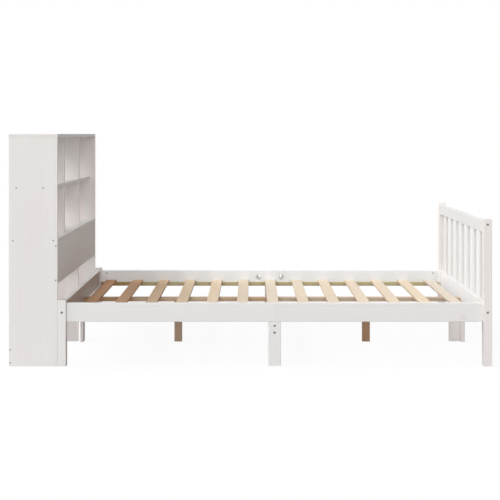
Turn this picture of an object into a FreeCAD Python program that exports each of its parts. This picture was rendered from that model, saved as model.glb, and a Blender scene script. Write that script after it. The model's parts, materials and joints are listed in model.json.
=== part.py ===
import FreeCAD, Part
import math
import os

os.makedirs("parts", exist_ok=True)

# A pine bed with a bookcase for a headboard. All sizes are in millimetres.
# X runs along the bed, from the bookcase at -X to the foot at +X. Y runs across it, and left is -Y,
# as seen from the foot. Z is up. The origin is on the floor, under the middle of the whole piece.

# ---- driving dimensions -------------------------------------------------------------------------

# the mattress that the frame is built round, and the play left about it
mattress_length = 2000.0
mattress_width = 1200.0
mattress_play_long = 5.0
mattress_play_wide = 2.0

# posts, rails and the boards of the frame
post_side = 40.0
rail_thick = 20.0
rail_height = 90.0
rail_bottom = 210.0
head_post_rise = 14.0
leg_width = 60.0
head_leg_thick = 16.0
foot_web_thick = 16.0
foot_web_width = 60.0

# footboard
foot_post_height = 700.0
foot_top_rail_drop = 12.0
foot_top_rail_height = 58.0
foot_slat_count = 7
foot_slat_width = 58.0
foot_slat_thick = 15.0
foot_slat_tenon = 10.0

# slatted base
cleat_height = 20.0
cleat_thick = 20.0
deck_seat = 24.0
bed_slat_count = 13
bed_slat_width = 58.0
bed_slat_thick = 12.0
bed_slat_end_gap = 40.5
bed_slat_side_gap = 2.0
beam_width = 44.0
beam_thick = 20.0
beam_leg_long = 40.0
beam_leg_wide = 30.0
beam_leg_offset = 500.0
cross_beam_thick = 20.0
cross_beam_height = 74.0

# bookcase
case_depth = 232.0
case_height = 1104.0
case_board = 16.0
lower_shelf_bottom = 589.0
middle_shelf_bottom = 839.0
middle_shelf_setback = 32.0
outer_bay_width = 366.0
front_panel_height = 197.0
rear_rail_height = 96.0

# rounded edges
post_edge = 2.5
rail_edge = 2.5
case_edge = 1.5
slat_edge = 1.5

# bolts with barrel nuts
bolt_radius = 3.0
bolt_length = 74.0
bolt_head_radius = 5.5
bolt_head_thick = 3.5
bolt_head_sink = 1.5
bolt_socket_flats = 4.0
bolt_socket_depth = 2.5
nut_radius = 5.0
nut_wood_left = 3.0
nut_below_face = 3.0
nut_slot_width = 1.2
nut_slot_depth = 1.0
bolt_nut_reach = 71.5
side_bolt_drop = 15.0
foot_top_bolt_drop = 15.0
leg_bolt_drop = 35.0
leg_bolt_spacing = 32.0

# connectors that hold the two halves of a side rail together
connector_reach = 68.0
connector_drop = 41.0
connector_recess_radius = 15.0
connector_wood_left = 6.0
connector_rod_radius = 3.0
connector_rod_tail = 6.0
half_moon_radius = 14.5
half_moon_below_face = 2.0

# screws and dowels
screw_radius = 2.0
screw_head_radius = 3.6
screw_head_depth = 3.0
screw_slot_width = 0.8
screw_slot_depth = 1.0
screw_slot_length = 4.4
long_screw_length = 50.0
short_screw_length = 30.0
screw_edge_inset = 17.0
lower_shelf_screw_inset = 20.0
middle_shelf_screw_inset = 36.0
slat_screw_spacing = 32.0
beam_screw_spacing = 22.0
beam_end_screw_inset = 5.0
beam_leg_screw_spacing = 11.0
cleat_screw_count = 4
cleat_screw_outer_inset = 10.0
cleat_screw_inner_inset = 45.0
dowel_radius = 4.0
dowel_bite = 15.0
thin_dowel_bite = 7.0
side_dowel_rise = 30.0
end_dowel_rise = 14.0
top_rail_dowel_rise = 14.0
case_dowel_inset = 40.0
leg_dowel_spacing = 44.0
web_dowel_inset = 50.0

# clearances
bolt_play = 0.5
nut_play = 0.15
thread_play = 0.05
screw_play = 0.05
dowel_play = 0.05
dowel_end_play = 0.5
tenon_play = 0.1

# two directions count as parallel when the cosine of the angle between them is over this
parallel_enough = 0.999

# ---- places worked out from them ----------------------------------------------------------------

rail_inset = (post_side - rail_thick) / 2.0
inner_length = mattress_length + mattress_play_long
inner_width = mattress_width + mattress_play_wide
frame_length = inner_length + 2.0 * (rail_inset + rail_thick)
frame_width = inner_width + 2.0 * (rail_inset + rail_thick)
overall_length = frame_length + case_depth

case_rear = -overall_length / 2.0
case_front = case_rear + case_depth
foot_end = overall_length / 2.0
mid_x = (case_front + foot_end) / 2.0
half_width = frame_width / 2.0
half_inner = inner_width / 2.0

rail_top = rail_bottom + rail_height
rail_middle = rail_bottom + rail_height / 2.0
head_post_height = rail_top + head_post_rise
head_rail_rear = case_front + rail_inset
head_rail_face = head_rail_rear + rail_thick
foot_rail_face = foot_end - rail_inset - rail_thick
head_post_face = case_front + post_side
foot_post_face = foot_end - post_side
post_inner = half_width - post_side

deck_level = rail_bottom + deck_seat
beam_bottom = deck_level - beam_thick
foot_top_rail_top = foot_post_height - foot_top_rail_drop
foot_top_rail_bottom = foot_top_rail_top - foot_top_rail_height

shelf_front = case_front - middle_shelf_setback
case_inner = half_width - case_board
lower_shelf_top = lower_shelf_bottom + case_board
middle_shelf_top = middle_shelf_bottom + case_board
top_board_bottom = case_height - case_board
front_panel_bottom = lower_shelf_bottom - front_panel_height
case_middle_depth = (case_rear + case_front) / 2.0

SIDES = (("left", -1.0), ("right", 1.0))
ALONG_X = FreeCAD.Vector(1, 0, 0)
ALONG_Y = FreeCAD.Vector(0, 1, 0)
UP = FreeCAD.Vector(0, 0, 1)
DOWN = FreeCAD.Vector(0, 0, -1)

boards = {}
hardware = {name: [] for name in (
    "frame_bolts", "barrel_nuts", "connector_rods", "half_moon_nuts", "long_screws", "short_screws",
    "dowels")}


# ---- making boards ------------------------------------------------------------------------------

def block(x_from, x_to, y_from, y_to, z_from, z_to):
    """A plain box between two corners, given in any order."""
    corner = FreeCAD.Vector(min(x_from, x_to), min(y_from, y_to), min(z_from, z_to))
    return Part.makeBox(abs(x_to - x_from), abs(y_to - y_from), abs(z_to - z_from), corner)


def edges_along(shape, direction):
    """The straight edges of a shape that run along one direction."""
    found = []
    for edge in shape.Edges:
        run = edge.Vertexes[-1].Point - edge.Vertexes[0].Point
        if run.Length > 0 and abs(run.normalize().dot(direction)) > parallel_enough:
            found.append(edge)
    return found


def eased(shape, direction, radius):
    """The board with its long edges rounded, as a planed board has them."""
    return shape.makeFillet(radius, edges_along(shape, direction))


def eased_upright(shape, radius):
    """A post or an upright board with its upright edges and its top edges rounded."""
    top = shape.BoundBox.ZMax
    at_top = [edge for edge in shape.Edges if edge.BoundBox.ZMin > top - radius]
    return shape.makeFillet(radius, edges_along(shape, UP) + at_top)


def rod(start, direction, radius, length):
    """A round bar, or the cutter for a round hole."""
    return Part.makeCylinder(radius, length, start, direction)


def bore(names, cutter):
    """Cut one hole through each of the named boards."""
    for name in names:
        boards[name] = boards[name].cut(cutter)


# ---- fasteners and their holes ------------------------------------------------------------------

def hexagon_bar(start, direction, flats, length):
    """A six-sided bar, used as the cutter for a hexagon socket."""
    corner_radius = flats / math.sqrt(3.0)
    turn = FreeCAD.Rotation(UP, direction)
    corners = []
    for step in range(7):
        angle = math.radians(60.0 * step)
        flat_point = FreeCAD.Vector(corner_radius * math.cos(angle), corner_radius * math.sin(angle), 0)
        corners.append(start + turn.multVec(flat_point))
    return Part.Face(Part.makePolygon(corners)).extrude(direction * length)


def bolt_joint(through, into, surface, direction, nut_direction, into_thick):
    """A bolt sunk in one board that pulls on a barrel nut in the end of the next.

    surface is the point where the bolt's axis enters the first board, nut_direction points to the
    face that the nut was pushed in by, and into_thick is how thick the second board is that way.
    """
    nut_length = into_thick - nut_wood_left - nut_below_face
    head_top = surface + direction * bolt_head_sink
    head_seat = head_top + direction * bolt_head_thick
    nut_centre = surface + direction * bolt_nut_reach
    nut_inner_end = nut_centre - nut_direction * (into_thick / 2.0 - nut_wood_left)

    bore([through], rod(surface, direction, bolt_head_radius + bolt_play,
                        bolt_head_sink + bolt_head_thick))
    bore([through, into], rod(head_seat, direction, bolt_radius + bolt_play, bolt_length + bolt_play))
    bore([into], rod(nut_inner_end, nut_direction, nut_radius + nut_play, into_thick))

    bolt = rod(head_top, direction, bolt_head_radius, bolt_head_thick)
    bolt = bolt.fuse(rod(head_seat, direction, bolt_radius, bolt_length))
    bolt = bolt.cut(hexagon_bar(head_top, direction, bolt_socket_flats, bolt_socket_depth))
    hardware["frame_bolts"].append(bolt.removeSplitter())

    nut = rod(nut_inner_end + nut_direction * nut_play, nut_direction, nut_radius, nut_length)
    nut = nut.cut(rod(nut_centre - direction * nut_length, direction, bolt_radius + thread_play,
                      2.0 * nut_length))
    nut_mouth = nut_inner_end + nut_direction * (nut_play + nut_length - nut_slot_depth)
    hardware["barrel_nuts"].append(nut.cut(slot_cutter(nut_mouth, nut_direction, nut_slot_width,
                                                       2.0 * nut_radius, nut_slot_depth)))


def slot_cutter(bottom, direction, width, length, depth):
    """The cutter for a screwdriver slot, from its bottom outwards to past its mouth."""
    cutter = Part.makeBox(width, length, 2.0 * depth, FreeCAD.Vector(-width / 2.0, -length / 2.0, 0))
    cutter.Placement = FreeCAD.Placement(bottom, FreeCAD.Rotation(UP, direction))
    return cutter


def screw_joint(group, through, into, surface, direction, length):
    """A countersunk screw, flush with the first board, whose point lies in the second."""
    countersink = Part.makeCone(screw_head_radius + screw_play, screw_radius + screw_play,
                                screw_head_depth, surface, direction)
    bore([through], countersink)
    bore([through, into], rod(surface, direction, screw_radius + screw_play, length + screw_play))

    screw = Part.makeCone(screw_head_radius, screw_radius, screw_head_depth, surface, direction)
    screw = screw.fuse(rod(surface + direction * screw_head_depth, direction, screw_radius,
                           length - screw_head_depth))
    for turn in (0.0, 90.0):
        slot = slot_cutter(surface + direction * screw_slot_depth, direction * -1.0, screw_slot_width,
                           screw_slot_length, screw_slot_depth)
        screw = screw.cut(slot.rotated(surface, direction, turn))
    hardware[group].append(screw.removeSplitter())


def dowel_joint(first, second, joint, direction, bite_first=dowel_bite, bite_second=dowel_bite):
    """A glued dowel across the face where two boards meet; direction points into the second."""
    start = joint - direction * bite_first
    bore([first, second], rod(start, direction, dowel_radius + dowel_play, bite_first + bite_second))
    hardware["dowels"].append(rod(start + direction * dowel_end_play, direction, dowel_radius,
                                  bite_first + bite_second - 2.0 * dowel_end_play))


# ---- the bookcase -------------------------------------------------------------------------------

def bookcase_boards():
    """Two sides, a top, two shelves and the boards that stand between and below them."""
    for side, sign in SIDES:
        panel = block(case_rear, case_front, sign * half_width, sign * case_inner, 0, top_board_bottom)
        boards["bookcase_" + side + "_side"] = eased_upright(panel, case_edge)

    top = block(case_rear, case_front, -half_width, half_width, top_board_bottom, case_height)
    boards["bookcase_top"] = top.makeFillet(case_edge, edges_along(top, ALONG_X) + edges_along(top, ALONG_Y))
    middle = block(case_rear, shelf_front, -case_inner, case_inner, middle_shelf_bottom, middle_shelf_top)
    boards["bookcase_middle_shelf"] = eased(middle, ALONG_Y, case_edge)
    lower = block(case_rear, case_front, -case_inner, case_inner, lower_shelf_bottom, lower_shelf_top)
    boards["bookcase_lower_shelf"] = eased(lower, ALONG_Y, case_edge)

    front = block(case_front - case_board, case_front, -case_inner, case_inner,
                  front_panel_bottom, lower_shelf_bottom)
    boards["bookcase_front_panel"] = eased(front, ALONG_Y, case_edge)
    rear = block(case_rear, case_rear + case_board, -case_inner, case_inner, 0, rear_rail_height)
    boards["bookcase_rear_rail"] = eased(rear, ALONG_Y, case_edge)


def bookcase_centre_panel():
    """The upright board under the lower shelf, notched round the front panel and the rear rail."""
    panel = block(case_rear, case_front, -case_board / 2.0, case_board / 2.0, 0, lower_shelf_bottom)
    panel = eased(panel, UP, case_edge)
    panel = panel.cut(block(case_front - case_board, case_front, -case_board, case_board,
                            front_panel_bottom, lower_shelf_bottom))
    panel = panel.cut(block(case_rear, case_rear + case_board, -case_board, case_board,
                            0, rear_rail_height))
    boards["bookcase_centre_panel"] = panel


def bookcase_dividers():
    """Two uprights in each row, which leave the middle bay wider than the outer ones."""
    near_face = case_inner - outer_bay_width
    rows = (("upper", middle_shelf_top, top_board_bottom), ("lower", lower_shelf_top, middle_shelf_bottom))
    for row, bottom, top in rows:
        for side, sign in SIDES:
            divider = block(case_rear, shelf_front, sign * near_face, sign * (near_face - case_board),
                            bottom, top)
            boards[row + "_" + side + "_divider"] = eased(divider, UP, case_edge)


def bookcase_joints():
    """Screws through the sides, and hidden dowels at the top, the dividers and the centre panel."""
    lower_middle = (lower_shelf_bottom + lower_shelf_top) / 2.0
    middle_middle = (middle_shelf_bottom + middle_shelf_top) / 2.0
    panel_depth = case_front - case_board / 2.0
    rear_depth = case_rear + case_board / 2.0
    screw_places = (
        ("bookcase_lower_shelf", case_rear + lower_shelf_screw_inset, lower_middle),
        ("bookcase_lower_shelf", case_front - lower_shelf_screw_inset, lower_middle),
        ("bookcase_middle_shelf", case_rear + middle_shelf_screw_inset, middle_middle),
        ("bookcase_middle_shelf", shelf_front - middle_shelf_screw_inset, middle_middle),
        ("bookcase_front_panel", panel_depth, front_panel_bottom + screw_edge_inset),
        ("bookcase_front_panel", panel_depth, lower_shelf_bottom - screw_edge_inset),
        ("bookcase_rear_rail", rear_depth, screw_edge_inset),
        ("bookcase_rear_rail", rear_depth, rear_rail_height - screw_edge_inset))
    for side, sign in SIDES:
        for board, depth, height in screw_places:
            screw_joint("long_screws", "bookcase_" + side + "_side", board,
                        FreeCAD.Vector(depth, sign * half_width, height), ALONG_Y * -sign,
                        long_screw_length)

        for depth in (case_rear + case_dowel_inset, case_front - case_dowel_inset):
            dowel_joint("bookcase_" + side + "_side", "bookcase_top",
                        FreeCAD.Vector(depth, sign * (half_width - case_board / 2.0), top_board_bottom),
                        UP, dowel_bite, thin_dowel_bite)

        divider_y = sign * (case_inner - outer_bay_width - case_board / 2.0)
        for depth in (case_rear + case_dowel_inset, shelf_front - case_dowel_inset):
            ends = (("upper", "bookcase_top", top_board_bottom, UP),
                    ("upper", "bookcase_middle_shelf", middle_shelf_top, DOWN),
                    ("lower", "bookcase_middle_shelf", middle_shelf_bottom, UP),
                    ("lower", "bookcase_lower_shelf", lower_shelf_top, DOWN))
            for row, shelf, height, direction in ends:
                dowel_joint(row + "_" + side + "_divider", shelf,
                            FreeCAD.Vector(depth, divider_y, height), direction,
                            dowel_bite, thin_dowel_bite)

    for depth in (case_rear + case_dowel_inset, case_middle_depth):
        dowel_joint("bookcase_centre_panel", "bookcase_lower_shelf",
                    FreeCAD.Vector(depth, 0, lower_shelf_bottom), UP, dowel_bite, thin_dowel_bite)
    screw_joint("long_screws", "bookcase_rear_rail", "bookcase_centre_panel",
                FreeCAD.Vector(case_rear, 0, rear_rail_height / 2.0), ALONG_X, long_screw_length)


# ---- the ends of the bed ------------------------------------------------------------------------

def head_end():
    """Two short posts with a rail between them, and a board leg under the middle of the rail."""
    for side, sign in SIDES:
        post = block(case_front, head_post_face, sign * half_width, sign * post_inner,
                     0, head_post_height)
        boards["head_" + side + "_post"] = eased_upright(post, post_edge)
    rail = block(head_rail_rear, head_rail_face, -post_inner, post_inner, rail_bottom, rail_top)
    boards["head_rail"] = eased(rail, ALONG_Y, rail_edge)
    leg = block(head_rail_face - head_leg_thick, head_rail_face, -leg_width / 2.0, leg_width / 2.0,
                0, rail_bottom)
    boards["head_centre_leg"] = eased(leg, UP, case_edge)


def foot_end_boards():
    """Two tall posts, two rails, and a T-shaped leg of two boards under the middle."""
    for side, sign in SIDES:
        post = block(foot_post_face, foot_end, sign * half_width, sign * post_inner, 0, foot_post_height)
        boards["foot_" + side + "_post"] = eased_upright(post, post_edge)
    outer_face = foot_rail_face + rail_thick
    bottom = block(foot_rail_face, outer_face, -post_inner, post_inner, rail_bottom, rail_top)
    boards["foot_bottom_rail"] = eased(bottom, ALONG_Y, rail_edge)
    top = block(foot_rail_face, outer_face, -post_inner, post_inner,
                foot_top_rail_bottom, foot_top_rail_top)
    boards["foot_top_rail"] = eased(top, ALONG_Y, rail_edge)
    leg = block(foot_rail_face, outer_face, -leg_width / 2.0, leg_width / 2.0, 0, rail_bottom)
    boards["foot_centre_leg"] = eased(leg, UP, case_edge)
    web = block(foot_rail_face - foot_web_width, foot_rail_face,
                -foot_web_thick / 2.0, foot_web_thick / 2.0, 0, beam_bottom)
    boards["foot_leg_web"] = eased(web, UP, case_edge)


def footboard_slats():
    """Upright slats, evenly spaced, whose ends are let into mortises in both rails."""
    gap = (2.0 * post_inner - foot_slat_count * foot_slat_width) / (foot_slat_count + 1)
    front = foot_rail_face + (rail_thick - foot_slat_thick) / 2.0
    for number in range(1, foot_slat_count + 1):
        start = -post_inner + gap * number + foot_slat_width * (number - 1)
        slat = block(front, front + foot_slat_thick, start, start + foot_slat_width,
                     rail_top - foot_slat_tenon, foot_top_rail_bottom + foot_slat_tenon)
        mortise = block(front - tenon_play, front + foot_slat_thick + tenon_play,
                        start - tenon_play, start + foot_slat_width + tenon_play,
                        rail_top - foot_slat_tenon - tenon_play,
                        foot_top_rail_bottom + foot_slat_tenon + tenon_play)
        bore(["foot_bottom_rail", "foot_top_rail"], mortise)
        boards["footboard_slat_" + str(number)] = eased(slat, UP, slat_edge)


def end_joints():
    """A bolt and a dowel at each end of each cross rail, and dowels over the centre legs."""
    rails = (("head", "head_rail", case_front + post_side / 2.0, -ALONG_X, rail_middle,
              rail_bottom + end_dowel_rise),
             ("foot", "foot_bottom_rail", foot_end - post_side / 2.0, ALONG_X, rail_middle,
              rail_bottom + end_dowel_rise),
             ("foot", "foot_top_rail", foot_end - post_side / 2.0, ALONG_X,
              foot_top_rail_top - foot_top_bolt_drop, foot_top_rail_bottom + top_rail_dowel_rise))
    for end, rail, x, nut_side, bolt_height, dowel_height in rails:
        for side, sign in SIDES:
            post = end + "_" + side + "_post"
            bolt_joint(post, rail, FreeCAD.Vector(x, sign * half_width, bolt_height), ALONG_Y * -sign,
                       nut_side, rail_thick)
            dowel_joint(post, rail, FreeCAD.Vector(x, sign * post_inner, dowel_height), ALONG_Y * -sign)

    head_leg_x = head_rail_face - head_leg_thick / 2.0
    foot_leg_x = foot_rail_face + rail_thick / 2.0
    for offset in (-leg_dowel_spacing / 2.0, leg_dowel_spacing / 2.0):
        dowel_joint("head_centre_leg", "head_rail", FreeCAD.Vector(head_leg_x, offset, rail_bottom), UP)
        dowel_joint("foot_centre_leg", "foot_bottom_rail",
                    FreeCAD.Vector(foot_leg_x, offset, rail_bottom), UP)
    for height in (web_dowel_inset, rail_bottom - web_dowel_inset):
        dowel_joint("foot_leg_web", "foot_centre_leg", FreeCAD.Vector(foot_rail_face, 0, height),
                    ALONG_X, dowel_bite, thin_dowel_bite)


# ---- side rails and the middle of the bed -------------------------------------------------------

def side_rails():
    """Each side rail is two boards that meet over the middle leg, with a cleat on each."""
    cleats = []
    for side, sign in SIDES:
        outer = sign * (half_width - rail_inset)
        for half, start, end in (("head", head_post_face, mid_x), ("foot", mid_x, foot_post_face)):
            rail = block(start, end, outer, sign * half_inner, rail_bottom, rail_top)
            boards[side + "_side_rail_" + half] = eased(rail, ALONG_X, rail_edge)
            cleat = block(start, end, sign * half_inner, sign * (half_inner - cleat_thick),
                          deck_level - cleat_height, deck_level)
            name = side + "_cleat_" + half
            boards[name] = eased(cleat, ALONG_X, slat_edge)
            cleats.append(name)
    return cleats


def middle_supports():
    """A leg under each side rail's joint, and the cross beam that is bolted between the legs."""
    for side, sign in SIDES:
        leg = block(mid_x - leg_width / 2.0, mid_x + leg_width / 2.0,
                    sign * (half_width - rail_inset), sign * half_inner, 0, rail_bottom)
        boards["middle_" + side + "_leg"] = eased(leg, UP, rail_edge)
    beam = block(mid_x - cross_beam_thick / 2.0, mid_x + cross_beam_thick / 2.0,
                 -half_inner, half_inner, beam_bottom - cross_beam_height, beam_bottom)
    boards["middle_cross_beam"] = eased(beam, ALONG_Y, rail_edge)


def centre_beam():
    """A flat beam in two halves along the middle of the bed, with a square leg under each half."""
    for half, start, end in (("head", head_rail_face, mid_x), ("foot", mid_x, foot_rail_face)):
        beam = block(start, end, -beam_width / 2.0, beam_width / 2.0, beam_bottom, deck_level)
        boards["centre_beam_" + half] = eased(beam, ALONG_X, slat_edge)
    for half, x in (("head", mid_x - beam_leg_offset), ("foot", mid_x + beam_leg_offset)):
        leg = block(x - beam_leg_long / 2.0, x + beam_leg_long / 2.0,
                    -beam_leg_wide / 2.0, beam_leg_wide / 2.0, 0, beam_bottom)
        boards["beam_leg_" + half] = eased(leg, UP, slat_edge)


def bed_slats():
    """Flat slats across the bed, laid on the cleats and screwed down to the centre beam."""
    pitch = (inner_length - 2.0 * bed_slat_end_gap - bed_slat_width) / (bed_slat_count - 1)
    reach = half_inner - bed_slat_side_gap
    for number in range(bed_slat_count):
        start = head_rail_face + bed_slat_end_gap + pitch * number
        slat = block(start, start + bed_slat_width, -reach, reach,
                     deck_level, deck_level + bed_slat_thick)
        name = "bed_slat_{:02d}".format(number + 1)
        boards[name] = eased(slat, ALONG_Y, slat_edge)
        middle = start + bed_slat_width / 2.0
        for offset in (-slat_screw_spacing / 2.0, slat_screw_spacing / 2.0):
            x = middle + offset
            half = "head" if x < mid_x else "foot"
            screw_joint("short_screws", name, "centre_beam_" + half,
                        FreeCAD.Vector(x, 0, deck_level + bed_slat_thick), DOWN, short_screw_length)


def side_rail_joints():
    """Bolts and dowels at the posts, and a rod with half-moon nuts across the middle."""
    for side, sign in SIDES:
        rail_y = sign * (half_width - rail_inset - rail_thick / 2.0)
        ends = (("head", case_front, head_post_face, ALONG_X), ("foot", foot_end, foot_post_face, -ALONG_X))
        for end, outer_face, joint_face, direction in ends:
            post = end + "_" + side + "_post"
            rail = side + "_side_rail_" + end
            bolt_joint(post, rail, FreeCAD.Vector(outer_face, rail_y, rail_top - side_bolt_drop),
                       direction, ALONG_Y * -sign, rail_thick)
            dowel_joint(post, rail, FreeCAD.Vector(joint_face, rail_y, rail_bottom + side_dowel_rise),
                        direction)
        connector(side, sign, rail_y)


def connector(side, sign, rail_y):
    """A threaded rod along the rail, drawn tight by a half-moon nut in a round recess at each end."""
    height = rail_top - connector_drop
    names = [side + "_side_rail_head", side + "_side_rail_foot"]
    start = FreeCAD.Vector(mid_x - connector_reach - connector_rod_tail, rail_y, height)
    length = 2.0 * (connector_reach + connector_rod_tail)
    bore(names, rod(start, ALONG_X, connector_rod_radius + bolt_play, length))
    hardware["connector_rods"].append(rod(start, ALONG_X, connector_rod_radius, length))

    recess_depth = rail_thick - connector_wood_left
    recess_floor = sign * (half_inner + recess_depth)
    for towards_joint, name in ((1.0, names[0]), (-1.0, names[1])):
        x = mid_x - towards_joint * connector_reach
        bore([name], rod(FreeCAD.Vector(x, recess_floor, height), ALONG_Y * -sign,
                         connector_recess_radius, recess_depth + rail_edge))
        disc = rod(FreeCAD.Vector(x, recess_floor - sign * nut_play, height), ALONG_Y * -sign,
                   half_moon_radius, recess_depth - half_moon_below_face)
        half = disc.cut(block(x - towards_joint * 2.0 * half_moon_radius, x,
                              sign * half_width, 0, height - half_moon_radius * 2.0,
                              height + half_moon_radius * 2.0))
        half = half.cut(rod(FreeCAD.Vector(x - half_moon_radius * 2.0, rail_y, height), ALONG_X,
                            connector_rod_radius + thread_play, half_moon_radius * 4.0))
        hardware["half_moon_nuts"].append(half)


def middle_joints():
    """Bolts through the middle legs, and the dowels and screws of the centre beam and cleats."""
    bolt_middle = rail_bottom - leg_bolt_drop
    for side, sign in SIDES:
        leg = "middle_" + side + "_leg"
        leg_y = sign * (half_width - rail_inset)
        for offset in (-leg_bolt_spacing / 2.0, leg_bolt_spacing / 2.0):
            bolt_joint(leg, "middle_cross_beam", FreeCAD.Vector(mid_x, leg_y, bolt_middle + offset),
                       ALONG_Y * -sign, ALONG_X, cross_beam_thick)
        for half, offset in (("head", -leg_dowel_spacing / 2.0), ("foot", leg_dowel_spacing / 2.0)):
            dowel_joint(leg, side + "_side_rail_" + half,
                        FreeCAD.Vector(mid_x + offset, leg_y - sign * rail_thick / 2.0, rail_bottom), UP)
        cleat_screws(side, sign)

    for side, sign in SIDES:
        across = sign * beam_screw_spacing / 2.0
        dowel_joint("head_rail", "centre_beam_head",
                    FreeCAD.Vector(head_rail_face, across, (beam_bottom + deck_level) / 2.0), ALONG_X)
        for half, direction in (("head", -1.0), ("foot", 1.0)):
            screw_joint("long_screws", "centre_beam_" + half, "middle_cross_beam",
                        FreeCAD.Vector(mid_x + direction * beam_end_screw_inset, across, deck_level),
                        DOWN, long_screw_length)
            over_leg = mid_x + direction * beam_leg_offset + sign * beam_leg_screw_spacing / 2.0
            screw_joint("long_screws", "centre_beam_" + half, "beam_leg_" + half,
                        FreeCAD.Vector(over_leg, 0, deck_level), DOWN, long_screw_length)
    screw_joint("long_screws", "centre_beam_foot", "foot_leg_web",
                FreeCAD.Vector(foot_rail_face - foot_web_width / 2.0, 0, deck_level), DOWN,
                long_screw_length)


def cleat_screws(side, sign):
    """Screws through each cleat into its rail, evenly spaced between the two end ones."""
    height = deck_level - cleat_height / 2.0
    face = sign * (half_inner - cleat_thick)
    for half, outer, inward in (("head", head_post_face, 1.0), ("foot", foot_post_face, -1.0)):
        first = outer + inward * cleat_screw_outer_inset
        last = mid_x - inward * cleat_screw_inner_inset
        for number in range(cleat_screw_count):
            x = first + (last - first) * number / (cleat_screw_count - 1)
            screw_joint("short_screws", side + "_cleat_" + half, side + "_side_rail_" + half,
                        FreeCAD.Vector(x, face, height), ALONG_Y * sign, short_screw_length)


# ---- building and writing -----------------------------------------------------------------------

def write(node, solids):
    """Write one node, as a single solid or as a group of separate ones."""
    shape = solids[0] if len(solids) == 1 else Part.makeCompound(solids)
    shape.exportStep("parts/" + node + ".step")


bookcase_boards()
bookcase_centre_panel()
bookcase_dividers()
head_end()
foot_end_boards()
footboard_slats()
cleat_names = side_rails()
middle_supports()
centre_beam()
bed_slats()

bookcase_joints()
end_joints()
side_rail_joints()
middle_joints()

grouped = {"slat_cleats": cleat_names, "beam_legs": ["beam_leg_head", "beam_leg_foot"]}
in_groups = [name for names in grouped.values() for name in names]
for group, names in grouped.items():
    write(group, [boards[name] for name in names])
for name, shape in boards.items():
    if name not in in_groups:
        write(name, [shape])
for name, solids in hardware.items():
    write(name, solids)
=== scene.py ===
import json
import math

import bpy
from mathutils import Matrix, Vector

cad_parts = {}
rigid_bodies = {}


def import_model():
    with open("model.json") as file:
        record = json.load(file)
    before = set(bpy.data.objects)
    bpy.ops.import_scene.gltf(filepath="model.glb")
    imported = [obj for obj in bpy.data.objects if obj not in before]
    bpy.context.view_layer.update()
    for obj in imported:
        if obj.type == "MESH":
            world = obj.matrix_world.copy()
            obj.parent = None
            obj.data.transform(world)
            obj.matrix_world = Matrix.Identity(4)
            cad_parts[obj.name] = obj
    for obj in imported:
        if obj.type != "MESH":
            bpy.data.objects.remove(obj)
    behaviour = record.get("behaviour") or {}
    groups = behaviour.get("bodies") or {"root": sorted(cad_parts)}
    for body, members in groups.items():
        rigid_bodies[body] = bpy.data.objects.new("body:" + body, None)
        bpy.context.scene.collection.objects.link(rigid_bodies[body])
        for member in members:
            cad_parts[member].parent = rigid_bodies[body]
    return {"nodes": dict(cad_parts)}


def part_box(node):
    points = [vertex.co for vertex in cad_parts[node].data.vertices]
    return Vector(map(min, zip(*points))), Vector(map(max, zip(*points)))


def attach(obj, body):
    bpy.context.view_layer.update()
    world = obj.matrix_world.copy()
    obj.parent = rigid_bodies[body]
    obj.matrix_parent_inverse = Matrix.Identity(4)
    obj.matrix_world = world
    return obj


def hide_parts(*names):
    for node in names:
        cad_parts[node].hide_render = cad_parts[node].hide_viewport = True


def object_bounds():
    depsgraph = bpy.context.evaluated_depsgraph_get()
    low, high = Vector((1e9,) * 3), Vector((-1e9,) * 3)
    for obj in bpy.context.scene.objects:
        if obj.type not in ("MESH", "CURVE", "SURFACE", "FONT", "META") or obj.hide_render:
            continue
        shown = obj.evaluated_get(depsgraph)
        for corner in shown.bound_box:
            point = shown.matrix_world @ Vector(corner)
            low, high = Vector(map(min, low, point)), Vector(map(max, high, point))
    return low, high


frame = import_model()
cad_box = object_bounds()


# ---- camera -------------------------------------------------------------------------------------
# It stands level with the top of the bookcase, square to the long side of the bed, and a little
# over five metres from it. The lens is shifted down to keep the bed in the middle of the frame.

camera_distance = 5.145
camera_aside = -0.0018
focal_pixels = 1083.0
frame_pixels = 500.0
horizon_pixel = 134.0
sensor_width = 36.0

near_corner, far_corner = Vector(cad_box[0]), Vector(cad_box[1])
bpy.ops.object.camera_add(location=(camera_aside, near_corner.y - camera_distance, far_corner.z),
                          rotation=(math.radians(90.0), 0.0, 0.0))
camera = bpy.context.object
camera.data.sensor_width = sensor_width
camera.data.lens = sensor_width * focal_pixels / frame_pixels
camera.data.shift_y = (horizon_pixel - frame_pixels / 2.0) / frame_pixels
bpy.context.scene.camera = camera
bpy.context.scene.view_settings.view_transform = "Standard"


# ---- studio light -------------------------------------------------------------------------------
# A broad key light stands high behind the bookcase, so the faces that look towards the foot are in
# shade. A low front light fills the long side, and a smaller one from the left of the camera draws
# its shadows. The walls of the studio are brightest in front and at the head.

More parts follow.
